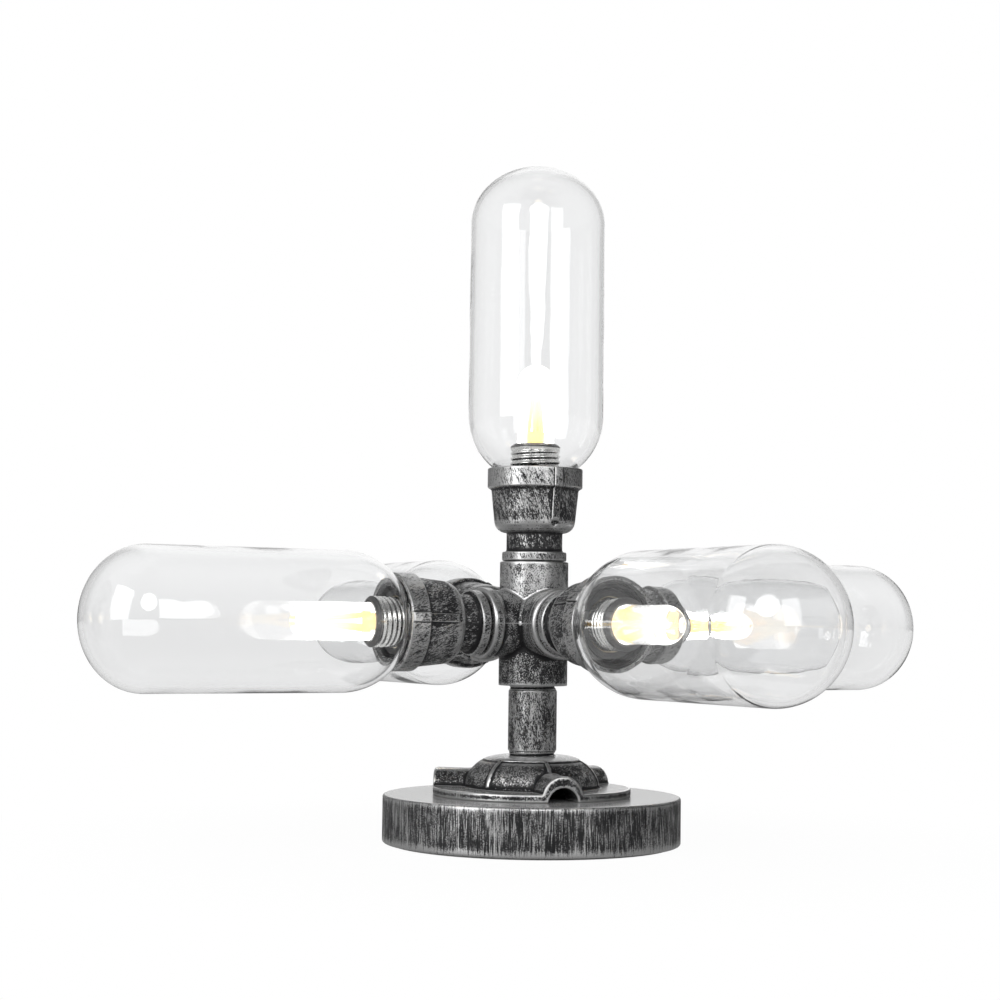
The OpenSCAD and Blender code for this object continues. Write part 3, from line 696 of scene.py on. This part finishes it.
even = np.linspace(0, 2 * math.pi, CUP_SIDES, endpoint=False)
near_rib = np.linspace(-0.2, 0.2, RIB_SIDES)
near_ribs = np.concatenate([math.pi / 2 + near_rib, 3 * math.pi / 2 + near_rib])
cup_angles = np.unique(np.round(np.concatenate([even, near_ribs]), 4))
cup_angles = cup_angles[np.concatenate([[True], np.diff(cup_angles) > 0.004])]
cup_outline = spaced(rounded([
    (SOCKET_R, 0, 0.4), (SOCKET_R, SOCKET_DEPTH, 0), (WIRE_HOLE_R, SOCKET_DEPTH, 0),
    (WIRE_HOLE_R, CHAMBER_FLOOR, 0), (CHAMBER_R, CHAMBER_FLOOR, 0), (CHAMBER_R, LEDGE_U, 0),
    (MOUTH_R, LEDGE_U, 0), (MOUTH_R, CUP_LEN, 0.4), (BAND_R, CUP_LEN, 0.6), (BAND_R, BAND_U, 0.7),
    (BELL_TOP_R, BAND_U - 1.2, 1.2), (BELL_FOOT_R, BELL_START, 5.8), (NECK_R, BELL_START, 0.6),
    (NECK_R, COLLAR_W, 1.2), (COLLAR_R, COLLAR_W, 0.7), (COLLAR_R, 0, 0.6),
]), CUP_STEP)


def cup_spread(tree, cover):
    """The neck stays dark, the bell's foot catches a soft band, and collar and rim take more."""
    along = upward(tree, kept(tree, "skin")["Vector"])
    neck = between(tree, along, NECK_START * MM, (BELL_START + 1) * MM, -0.04, 0.0)
    collar = between(tree, along, COLLAR_W * MM, (COLLAR_W + 0.6) * MM, 0.22, 0.0)
    foot = maths(tree, "MULTIPLY", between(tree, along, 0.0145, 0.0160, 0.0, 0.26),
                 between(tree, along, 0.0170, 0.0215, 1.0, 0.0))
    band = between(tree, along, (BAND_U - 1) * MM, BAND_U * MM, 0.0, 0.22)
    for extra in (neck, collar, foot, band):
        cover = maths(tree, "ADD", cover, extra)
    return cover


cup_iron = rubbed_iron(
    "rubbed_cup_iron", cover=0.37, edge=1.1, grain=2000.0, stretch=(1.0, 1.0, 0.28), depth=0.07,
    spread=cup_spread,
)
for arm in ARMS:
    cup = lathe("cup_" + arm + "_cast", cup_outline, cup_angles, placing[arm], cup_swell,
                STROKE_SLANT)
    mark_wear(cup, reach=0.14, passes=3)
    dress(cup, cup_iron, "cup_iron", "root", "cup_" + arm)

# Gaskets. Moulded rings of black rubber that lie on the ledge inside each cup's band. A glass's
# neck is pushed into one and held by its grip.
GASKET_R = 21.1
GASKET_IN_R = 19.8
GASKET_FLOOR = 1.2
BLACK_RUBBER = (0.012, 0.012, 0.012, 1)
rubber = moulded("gasket_rubber", BLACK_RUBBER, roughness=0.6)
for arm in ARMS:
    gasket = lathe("gasket_" + arm + "_moulded", rounded([
        (CHAMBER_R, LEDGE_U, 0), (CHAMBER_R, LEDGE_U + GASKET_FLOOR, 0.2),
        (GASKET_IN_R, LEDGE_U + GASKET_FLOOR, 0.2), (GASKET_IN_R, CUP_LEN - 0.3, 0.4),
        (GASKET_R, CUP_LEN - 0.3, 0.4), (GASKET_R, LEDGE_U, 0.2),
    ]), 128, placing[arm])
    dress(gasket, rubber, "gasket_rubber", "root", "gasket_" + arm)

# Lampholders. Black moulded bodies, screwed down inside each cup, whose brass shell and contact
# take the bulb.
for arm in ARMS:
    dress(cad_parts["holder_" + arm], black_plastic)

# Wiring. Leads in dark red heat-proof sleeving, which run from the terminal block up the stem and
# out through the nipples to the lampholders.
SLEEVE_RED = (0.30, 0.03, 0.03, 1)
sleeving = moulded("wire_sleeving", SLEEVE_RED, roughness=0.55)
dress(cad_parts["wiring"], sleeving)

# Bulbs. A nickelled screw cap with a rolled thread and a coned end, and a clear blown capsule. In
# it stands a stem with a foot, which carries four glowing sticks that lean together at their tips.
CAP_R = 12.3
CAP_U = 30
CAP_END = 58
CAP_PITCH = 2.6
CAP_DEPTH = 0.75
CAP_SKIN = 1.2
LIP_R = 10.3
LIP_H = 1.4
CAP_FLOOR = 2
CAP_STEP = 0.38
CAP_TURNS = 112
BUTTON_U = 26.6
BUTTON_R = 3.2
BUTTON_H = 0.8
CAPSULE_R = 9
CAPSULE_U = 52
CAPSULE_TIP = 97.5
CAPSULE_WALL = 0.8
CAPSULE_SLACK = 0.15
STICK_U = 61.5
STICK_END = 89.5
NICKEL_DARK, NICKEL_LIGHT = (0.50, 0.50, 0.49, 1), (0.80, 0.80, 0.78, 1)
MOUTH_DARK = (0.10, 0.10, 0.10, 1)
SMEAR_SCALE = 420.0

nickel, nickel_tree, nickel_shader = finish("nickelled_cap", Metallic=1.0)
smear = noise(nickel_tree, put(nickel_tree, "TexCoord").outputs["Object"], SMEAR_SCALE, 4.0, 0.65)
cap_height = upward(nickel_tree, kept(nickel_tree, "skin")["Vector"])
mouth = between(nickel_tree, cap_height, (CAP_END - 2.4) * MM, (CAP_END - 1.6) * MM)
nickel_colour = colours(nickel_tree, smear, NICKEL_DARK, NICKEL_LIGHT)
feed(
    nickel_tree, nickel_shader,
    Base_Color=colours(nickel_tree, mouth, nickel_colour, MOUTH_DARK),
    Roughness=maths(nickel_tree, "ADD", between(nickel_tree, smear, 0.3, 0.7, 0.16, 0.32),
                    maths(nickel_tree, "MULTIPLY", mouth, 0.25)),
)


def rolled(r, u, a):
    """The knuckle thread rolled into a screw cap."""
    wave = 0.5 - 0.5 * np.cos(2 * math.pi * (u / CAP_PITCH - a / (2 * math.pi)))
    inside = np.clip((u - CAP_U) / 2, 0, 1) * np.clip((CAP_END - 2 - u) / 2, 0, 1)
    return np.where(r > CAP_R - CAP_SKIN, r - CAP_DEPTH * wave * inside, r)


def arc(centre_u, radius, height, start, end, steps):
    """Points of an arc about a centre on the axis; start and end are degrees above the level."""
    turns = [math.radians(start + (end - start) * k / steps) for k in range(steps + 1)]
    return [np.array([radius * math.cos(a), centre_u + height * math.sin(a)]) for a in turns]


def mirror_share(tree):
    """1 for a ray that a surface mirrors, and 0 for one that has come through glass. Both kinds
    count as glossy rays."""
    rays = put(tree, "LightPath").outputs
    return maths(tree, "SUBTRACT", rays["Is Glossy Ray"], rays["Is Transmission Ray"], True)


# A lit capsule shows strongly where it is mirrored, and a faint veil of light lies over its sticks.
CAPSULE_LIGHT = (1.0, 0.99, 0.96, 1)
CAPSULE_MIRRORED = 1.3
lamp_glass, lamp_tree, lamp_shader = finish(
    "lit_capsule_glass", Base_Color=(1, 1, 1, 1), Roughness=0.0, IOR=1.45, Transmission_Weight=1.0,
    Emission_Color=CAPSULE_LIGHT,
)
lamp_height = upward(lamp_tree, kept(lamp_tree, "skin")["Vector"])
veil = between(lamp_tree, lamp_height, (STICK_U + 4) * MM, (STICK_U + 14) * MM, 0.07, 0.15)
mirrored = maths(lamp_tree, "MULTIPLY", mirror_share(lamp_tree), CAPSULE_MIRRORED)
feed(lamp_tree, lamp_shader, Emission_Strength=maths(lamp_tree, "ADD", mirrored, veil))

STICK_COLOUR = (1.0, 0.75, 0.25, 1)
FOOT_GLOW, TIP_GLOW = (1.0, 0.56, 0.16, 1), (1.0, 0.92, 0.72, 1)
glow, glow_tree, glow_shader = finish("glowing_filament", Base_Color=STICK_COLOUR)
glow_height = upward(glow_tree, kept(glow_tree, "skin")["Vector"])
heat = between(glow_tree, glow_height, (STICK_U + 4) * MM, (STICK_U + 26) * MM)
lit = maths(glow_tree, "MULTIPLY", between(glow_tree, heat, 0.0, 1.0, 0.88, 0.8),
            between(glow_tree, glow_height, (STICK_U - 3) * MM, STICK_U * MM, 0.3, 1.0))
unmirrored = between(glow_tree, mirror_share(glow_tree), 0.0, 1.0, 1.0, 0.15)
feed(
    glow_tree, glow_shader, Emission_Color=colours(glow_tree, heat, FOOT_GLOW, TIP_GLOW),
    Emission_Strength=maths(glow_tree, "MULTIPLY", lit, unmirrored),
)

# The stem, its foot, the ring at the tips and the sticks are grown by one tree of nodes.
GEOMETRY = "GeometryNode"
ROD_SIDES = 10
STICK_COUNT = 4
STICK_RISE = 4
FILAMENT_SIZES = {
    "Stem Radius": 1.9, "Stem Start": CAPSULE_U + CAPSULE_WALL, "Stem End": STICK_U,
    "Foot Radius": 2.3, "Foot End": STICK_U + 4.5, "Ring Radius": 0.9,
    "Ring Start": STICK_END - 0.8, "Ring End": STICK_END, "Stick Radius": 0.5,
    "Spread At Foot": 1.8, "Spread At Tip": 0.4, "Stick Start": STICK_U + STICK_RISE,
    "Stick End": STICK_END - 0.4,
}
growing, given, result = group(
    "filament", [("Sticks", "Int", STICK_COUNT), ("Glow", "Material", None)]
    + [(label, "Float", size * MM) for label, size in FILAMENT_SIZES.items()],
    [("Filament", "Geometry")], "GeometryNodeTree",
)
growing.is_modifier = True


def rod(radius, start, end, start_out=0.0, end_out=0.0):
    """A round rod with closed ends, between two heights and two distances from the axis."""
    places = [
        put(growing, "CombineXYZ", {"X": away, "Z": height}).outputs[0]
        for away, height in ((start_out, start), (end_out, end))
    ]
    line = put(growing, "CurvePrimitiveLine", {"Start": places[0], "End": places[1]}, GEOMETRY)
    ring = put(growing, "CurvePrimitiveCircle", {"Resolution": ROD_SIDES, "Radius": radius},
               GEOMETRY)
    return put(growing, "CurveToMesh", {
        "Curve": line.outputs[0], "Profile Curve": ring.outputs[0], "Fill Caps": True,
    }, GEOMETRY).outputs[0]


stick = rod(given["Stick Radius"], given["Stick Start"], given["Stick End"],
            given["Spread At Foot"], given["Spread At Tip"])
number = put(growing, "InputIndex", family=GEOMETRY).outputs[0]
step = maths(growing, "DIVIDE", 2 * math.pi, given["Sticks"])
turn = maths(growing, "MULTIPLY", maths(growing, "ADD", number, 0.5), step)
places = put(growing, "Points", {"Count": given["Sticks"]}, GEOMETRY).outputs[0]
sticks = put(growing, "InstanceOnPoints", {
    "Points": places, "Instance": stick,
    "Rotation": put(growing, "CombineXYZ", {"Z": turn}).outputs[0],
}, GEOMETRY).outputs[0]
whole = put(growing, "JoinGeometry", family=GEOMETRY)
for part in (
    rod(given["Stem Radius"], given["Stem Start"], given["Stem End"]),
    rod(given["Foot Radius"], given["Stem End"], given["Foot End"]),
    rod(given["Ring Radius"], given["Ring Start"], given["Ring End"]), sticks,
):
    growing.links.new(part, whole.inputs[0])
real = put(growing, "RealizeInstances", {"Geometry": whole.outputs[0]}, GEOMETRY).outputs[0]
finished = put(growing, "SetMaterial", {"Geometry": real, "Material": given["Glow"]}, GEOMETRY)
growing.links.new(finished.outputs[0], result["Filament"])


def grown(name, tree, sizes, place):
    """A piece grown by a tree of nodes, whose inputs are set by their sockets' identifiers."""
    made = bpy.data.objects.new(name, bpy.data.meshes.new(name))
    bpy.context.scene.collection.objects.link(made)
    modifier = made.modifiers.new("grow", "NODES")
    modifier.node_group = tree
    for socket in tree.interface.items_tree:
        if socket.in_out == "INPUT":
            modifier[socket.identifier] = sizes[socket.name]
    settle(made)
    keep_skin(made.data, [corner.co[:] for corner in made.data.vertices])
    made.data.transform(place)
    weld(made.data, face_out=True)
    made.data.shade_smooth()
    return made


filament_sizes = {label: size * MM for label, size in FILAMENT_SIZES.items()}
filament_sizes.update({"Sticks": STICK_COUNT, "Glow": glow})
for arm in ARMS:
    cap = lathe("bulb_cap_" + arm + "_rolled", spaced(rounded([
        (0, BUTTON_U, 0), (BUTTON_R, BUTTON_U, 0.4), (BUTTON_R, BUTTON_U + BUTTON_H, 0),
        (LIP_R, CAP_U, 0), (CAP_R - 1, CAP_U, 0.3), (CAP_R, CAP_U + 1, 0.4),
        (CAP_R, CAP_END - LIP_H, 0.8), (LIP_R, CAP_END, 0.4),
        (CAPSULE_R + CAPSULE_SLACK, CAP_END, 0), (CAPSULE_R + CAPSULE_SLACK, CAP_U + CAP_FLOOR, 0),
        (0, CAP_U + CAP_FLOOR, 0),
    ]), CAP_STEP), CAP_TURNS, placing[arm], rolled)
    dress(cap, nickel, "cap_metal", "bulb_" + arm, "bulb_cap_" + arm)
    inner = CAPSULE_R - CAPSULE_WALL
    capsule = lathe("capsule_" + arm + "_blown", (
        [np.array([0, CAPSULE_U]), np.array([CAPSULE_R, CAPSULE_U])]
        + arc(CAPSULE_TIP - CAPSULE_R, CAPSULE_R, CAPSULE_R, 0, 90, 24)
        + arc(CAPSULE_TIP - CAPSULE_R, inner, inner, 90, 0, 24)
        + [np.array([inner, CAPSULE_U + CAPSULE_WALL]), np.array([0, CAPSULE_U + CAPSULE_WALL])]
    ), 96, placing[arm])
    dress(capsule, lamp_glass, "capsule_glass", "bulb_" + arm, "capsule_" + arm)
    filament = grown("filament_" + arm + "_drawn", growing, filament_sizes, placing[arm])
    dress(filament, glow, "filament", "bulb_" + arm, "filament_" + arm)

# Glasses. Clear blown capsules: a neck that stands in the gasket, a round shoulder, a straight
# barrel and a domed end that is a little thicker at its tip.
GLASS_R = 33.5
GLASS_WALL = 2.2
GLASS_NECK_R = 19.5
NECK_END_U = 37.6
SHOULDER_U = 72.02
SHOULDER_H = 26.42
DOME_U = 167.6
DOME_H = 29
GLASS_TINT = (0.962, 0.964, 0.966, 1)
RIPPLE_SCALE = 28.0

clear, clear_tree, clear_shader = finish(
    "clear_blown_glass", Base_Color=GLASS_TINT, Roughness=0.0, IOR=1.47, Transmission_Weight=1.0,
)
ripple = noise(clear_tree, put(clear_tree, "TexCoord").outputs["Object"], RIPPLE_SCALE, 1.5, 0.5)
feed(clear_tree, clear_shader, Normal=pitted(clear_tree, ripple, 0.35))
inner_r = GLASS_R - GLASS_WALL
inner_neck_r = GLASS_NECK_R - GLASS_WALL
outer_start = math.degrees(math.asin(-SHOULDER_H / GLASS_R))
inner_start = -math.degrees(math.acos(inner_neck_r / inner_r))
glass_outline = spaced(
    [np.array([GLASS_NECK_R, NECK_END_U + 0.5]), np.array([GLASS_NECK_R, CUP_LEN - 0.3])]
    + arc(SHOULDER_U, GLASS_R, GLASS_R, outer_start, 0, 40)
    + arc(DOME_U, GLASS_R, DOME_H, 0, 90, 48)
    + arc(DOME_U, inner_r, DOME_H - GLASS_WALL, 90, 0, 48)
    + arc(SHOULDER_U, inner_r, inner_r, 0, inner_start, 40)
    + [np.array([inner_neck_r, NECK_END_U + 0.5]), np.array([inner_neck_r + 0.6, NECK_END_U]),
       np.array([GLASS_NECK_R - 0.6, NECK_END_U])], 3.0)
for arm in ARMS:
    glass = lathe("glass_" + arm + "_blown", glass_outline, 160, placing[arm])
    dress(glass, clear, "clear_glass", "glass_" + arm, "glass_" + arm)

# Studio. A pale paper floor and a backdrop, which stay white to the camera and pale through glass.
# Metal mirrors the backdrop, and the floor keeps the lamp's faint shadow.
FLOOR_HALF = 6
FLOOR_THROUGH, FLOOR_MIRRORED = 0.90, 0.3
ROOM_LIGHT = 0.4
corners = [(-FLOOR_HALF, -FLOOR_HALF, 0), (FLOOR_HALF, -FLOOR_HALF, 0),
           (FLOOR_HALF, FLOOR_HALF, 0), (-FLOOR_HALF, FLOOR_HALF, 0)]
floor_mesh = bpy.data.meshes.new("floor")
floor_mesh.from_pydata(corners, [], [(0, 1, 2, 3)])
floor = bpy.data.objects.new("floor", floor_mesh)
bpy.context.scene.collection.objects.link(floor)
floor_paper, floor_tree, floor_shader = finish(
    "floor_paper", Base_Color=(0.88, 0.88, 0.88, 1), Roughness=0.9,
)
rays = put(floor_tree, "LightPath").outputs
through = maths(floor_tree, "MULTIPLY", rays["Is Transmission Ray"], FLOOR_THROUGH)
mirrored = maths(floor_tree, "MULTIPLY", rays["Is Glossy Ray"], FLOOR_MIRRORED)
shown = maths(floor_tree, "MAXIMUM", through, mirrored)
shown = maths(floor_tree, "MAXIMUM", rays["Is Camera Ray"], shown)
white = put(floor_tree, "Emission", {"Color": (1, 1, 1, 1), "Strength": shown})
away = put(floor_tree, "VectorMath", {0: put(floor_tree, "TexCoord").outputs["Object"]},
           operation="LENGTH").outputs["Value"]
whiteness = between(floor_tree, away, 0.1, 0.3, 0.97, 1.0)
seen = maths(floor_tree, "MULTIPLY", maths(floor_tree, "CEIL", shown), whiteness)
share = put(floor_tree, "MixShader", {
    0: seen, 1: floor_shader.outputs[0], 2: white.outputs[0],
})
floor_tree.links.new(share.outputs[0], floor_tree.nodes["Material Output"].inputs["Surface"])
floor.data.materials.append(floor_paper)

world = bpy.data.worlds.new("studio")
bpy.context.scene.world = world
world.use_nodes = True
sky = world.node_tree
towards = put(sky, "TexCoord").outputs["Generated"]
compass = put(sky, "VectorMath", {0: towards, 1: (1, 1, 0)}, operation="MULTIPLY").outputs[0]
compass = put(sky, "VectorMath", {0: compass}, operation="NORMALIZE").outputs[0]


def towards_side(side):
    """How far a ray's compass direction agrees with a side of the room, from -1 to 1."""
    feeds = {0: compass, 1: tuple(side)}
    return put(sky, "VectorMath", feeds, operation="DOT_PRODUCT").outputs["Value"]


behind = towards_side(-out)
lateral = towards_side(Vector((0, 0, 1)).cross(-out))
height = upward(sky, towards)
# Metal mirrors a dark room that grows paler to the left, with the pale backdrop behind the lamp.
room = between(sky, lateral, 0.2, 1.0, 0.05, 0.3)
backdrop = maths(sky, "MULTIPLY", between(sky, behind, 0.90, 0.975),
                 between(sky, height, 0.75, 0.9, 1.0, 0.3))
mirrored = maths(sky, "MAXIMUM", room, backdrop)
# Glass shows the backdrop white, and the rest of the room greyer towards the camera.
through = maths(sky, "MAXIMUM", between(sky, behind, 0.8, 0.95),
                between(sky, behind, -1.0, 0.2, 0.2, 0.78))
through = maths(sky, "MULTIPLY", through, between(sky, height, -0.02, 0.07, 0.90, 1.0))
rays = put(sky, "LightPath").outputs
level = maths(sky, "ADD", maths(sky, "MULTIPLY", mirror_share(sky), mirrored),
              maths(sky, "MULTIPLY", rays["Is Transmission Ray"], through))
level = maths(sky, "MAXIMUM", level, maths(sky, "MULTIPLY", rays["Is Diffuse Ray"], ROOM_LIGHT))
level = maths(sky, "MAXIMUM", level, rays["Is Camera Ray"])
sky.links.new(level, sky.nodes["Background"].inputs["Strength"])
sky.nodes["Background"].inputs["Color"].default_value = (1, 1, 1, 1)

# Lights. Two softboxes and a round light stand in an arc in front of the lamp, above the level of
# its arms.
LIGHT_DISTANCE = 1.6


def studio_light(name, shape, turn, rise, wide, tall, brightness):
    """An area light that the cross sees at a turn to the right of the camera and a rise, in
    degrees, over an angle wide and tall. Its brightness is its radiance."""
    data = bpy.data.lights.new(name, "AREA")
    data.shape = shape
    data.size = 2 * LIGHT_DISTANCE * math.tan(math.radians(wide / 2))
    data.size_y = 2 * LIGHT_DISTANCE * math.tan(math.radians(tall / 2))
    area = data.size * data.size_y * (math.pi / 4 if shape == "ELLIPSE" else 1)
    data.energy = brightness * area * math.pi
    light = bpy.data.objects.new(name, data)
    a, b = CAMERA_TURN + math.radians(turn), math.radians(rise)
    aimed = Vector((0, 0, CROSS_Z * MM))
    spot = Vector((math.sin(a) * math.cos(b), -math.cos(a) * math.cos(b), math.sin(b)))
    light.location = aimed + spot * LIGHT_DISTANCE
    light.rotation_euler = (-spot).to_track_quat("-Z", "Y").to_euler()
    bpy.context.scene.collection.objects.link(light)


studio_light("left_softbox", "RECTANGLE", turn=-48, rise=18, wide=30, tall=38, brightness=4.3)
studio_light("round_light", "ELLIPSE", turn=2, rise=24, wide=30, tall=27, brightness=4.8)
studio_light("right_softbox", "RECTANGLE", turn=33, rise=15, wide=20, tall=28, brightness=3.0)
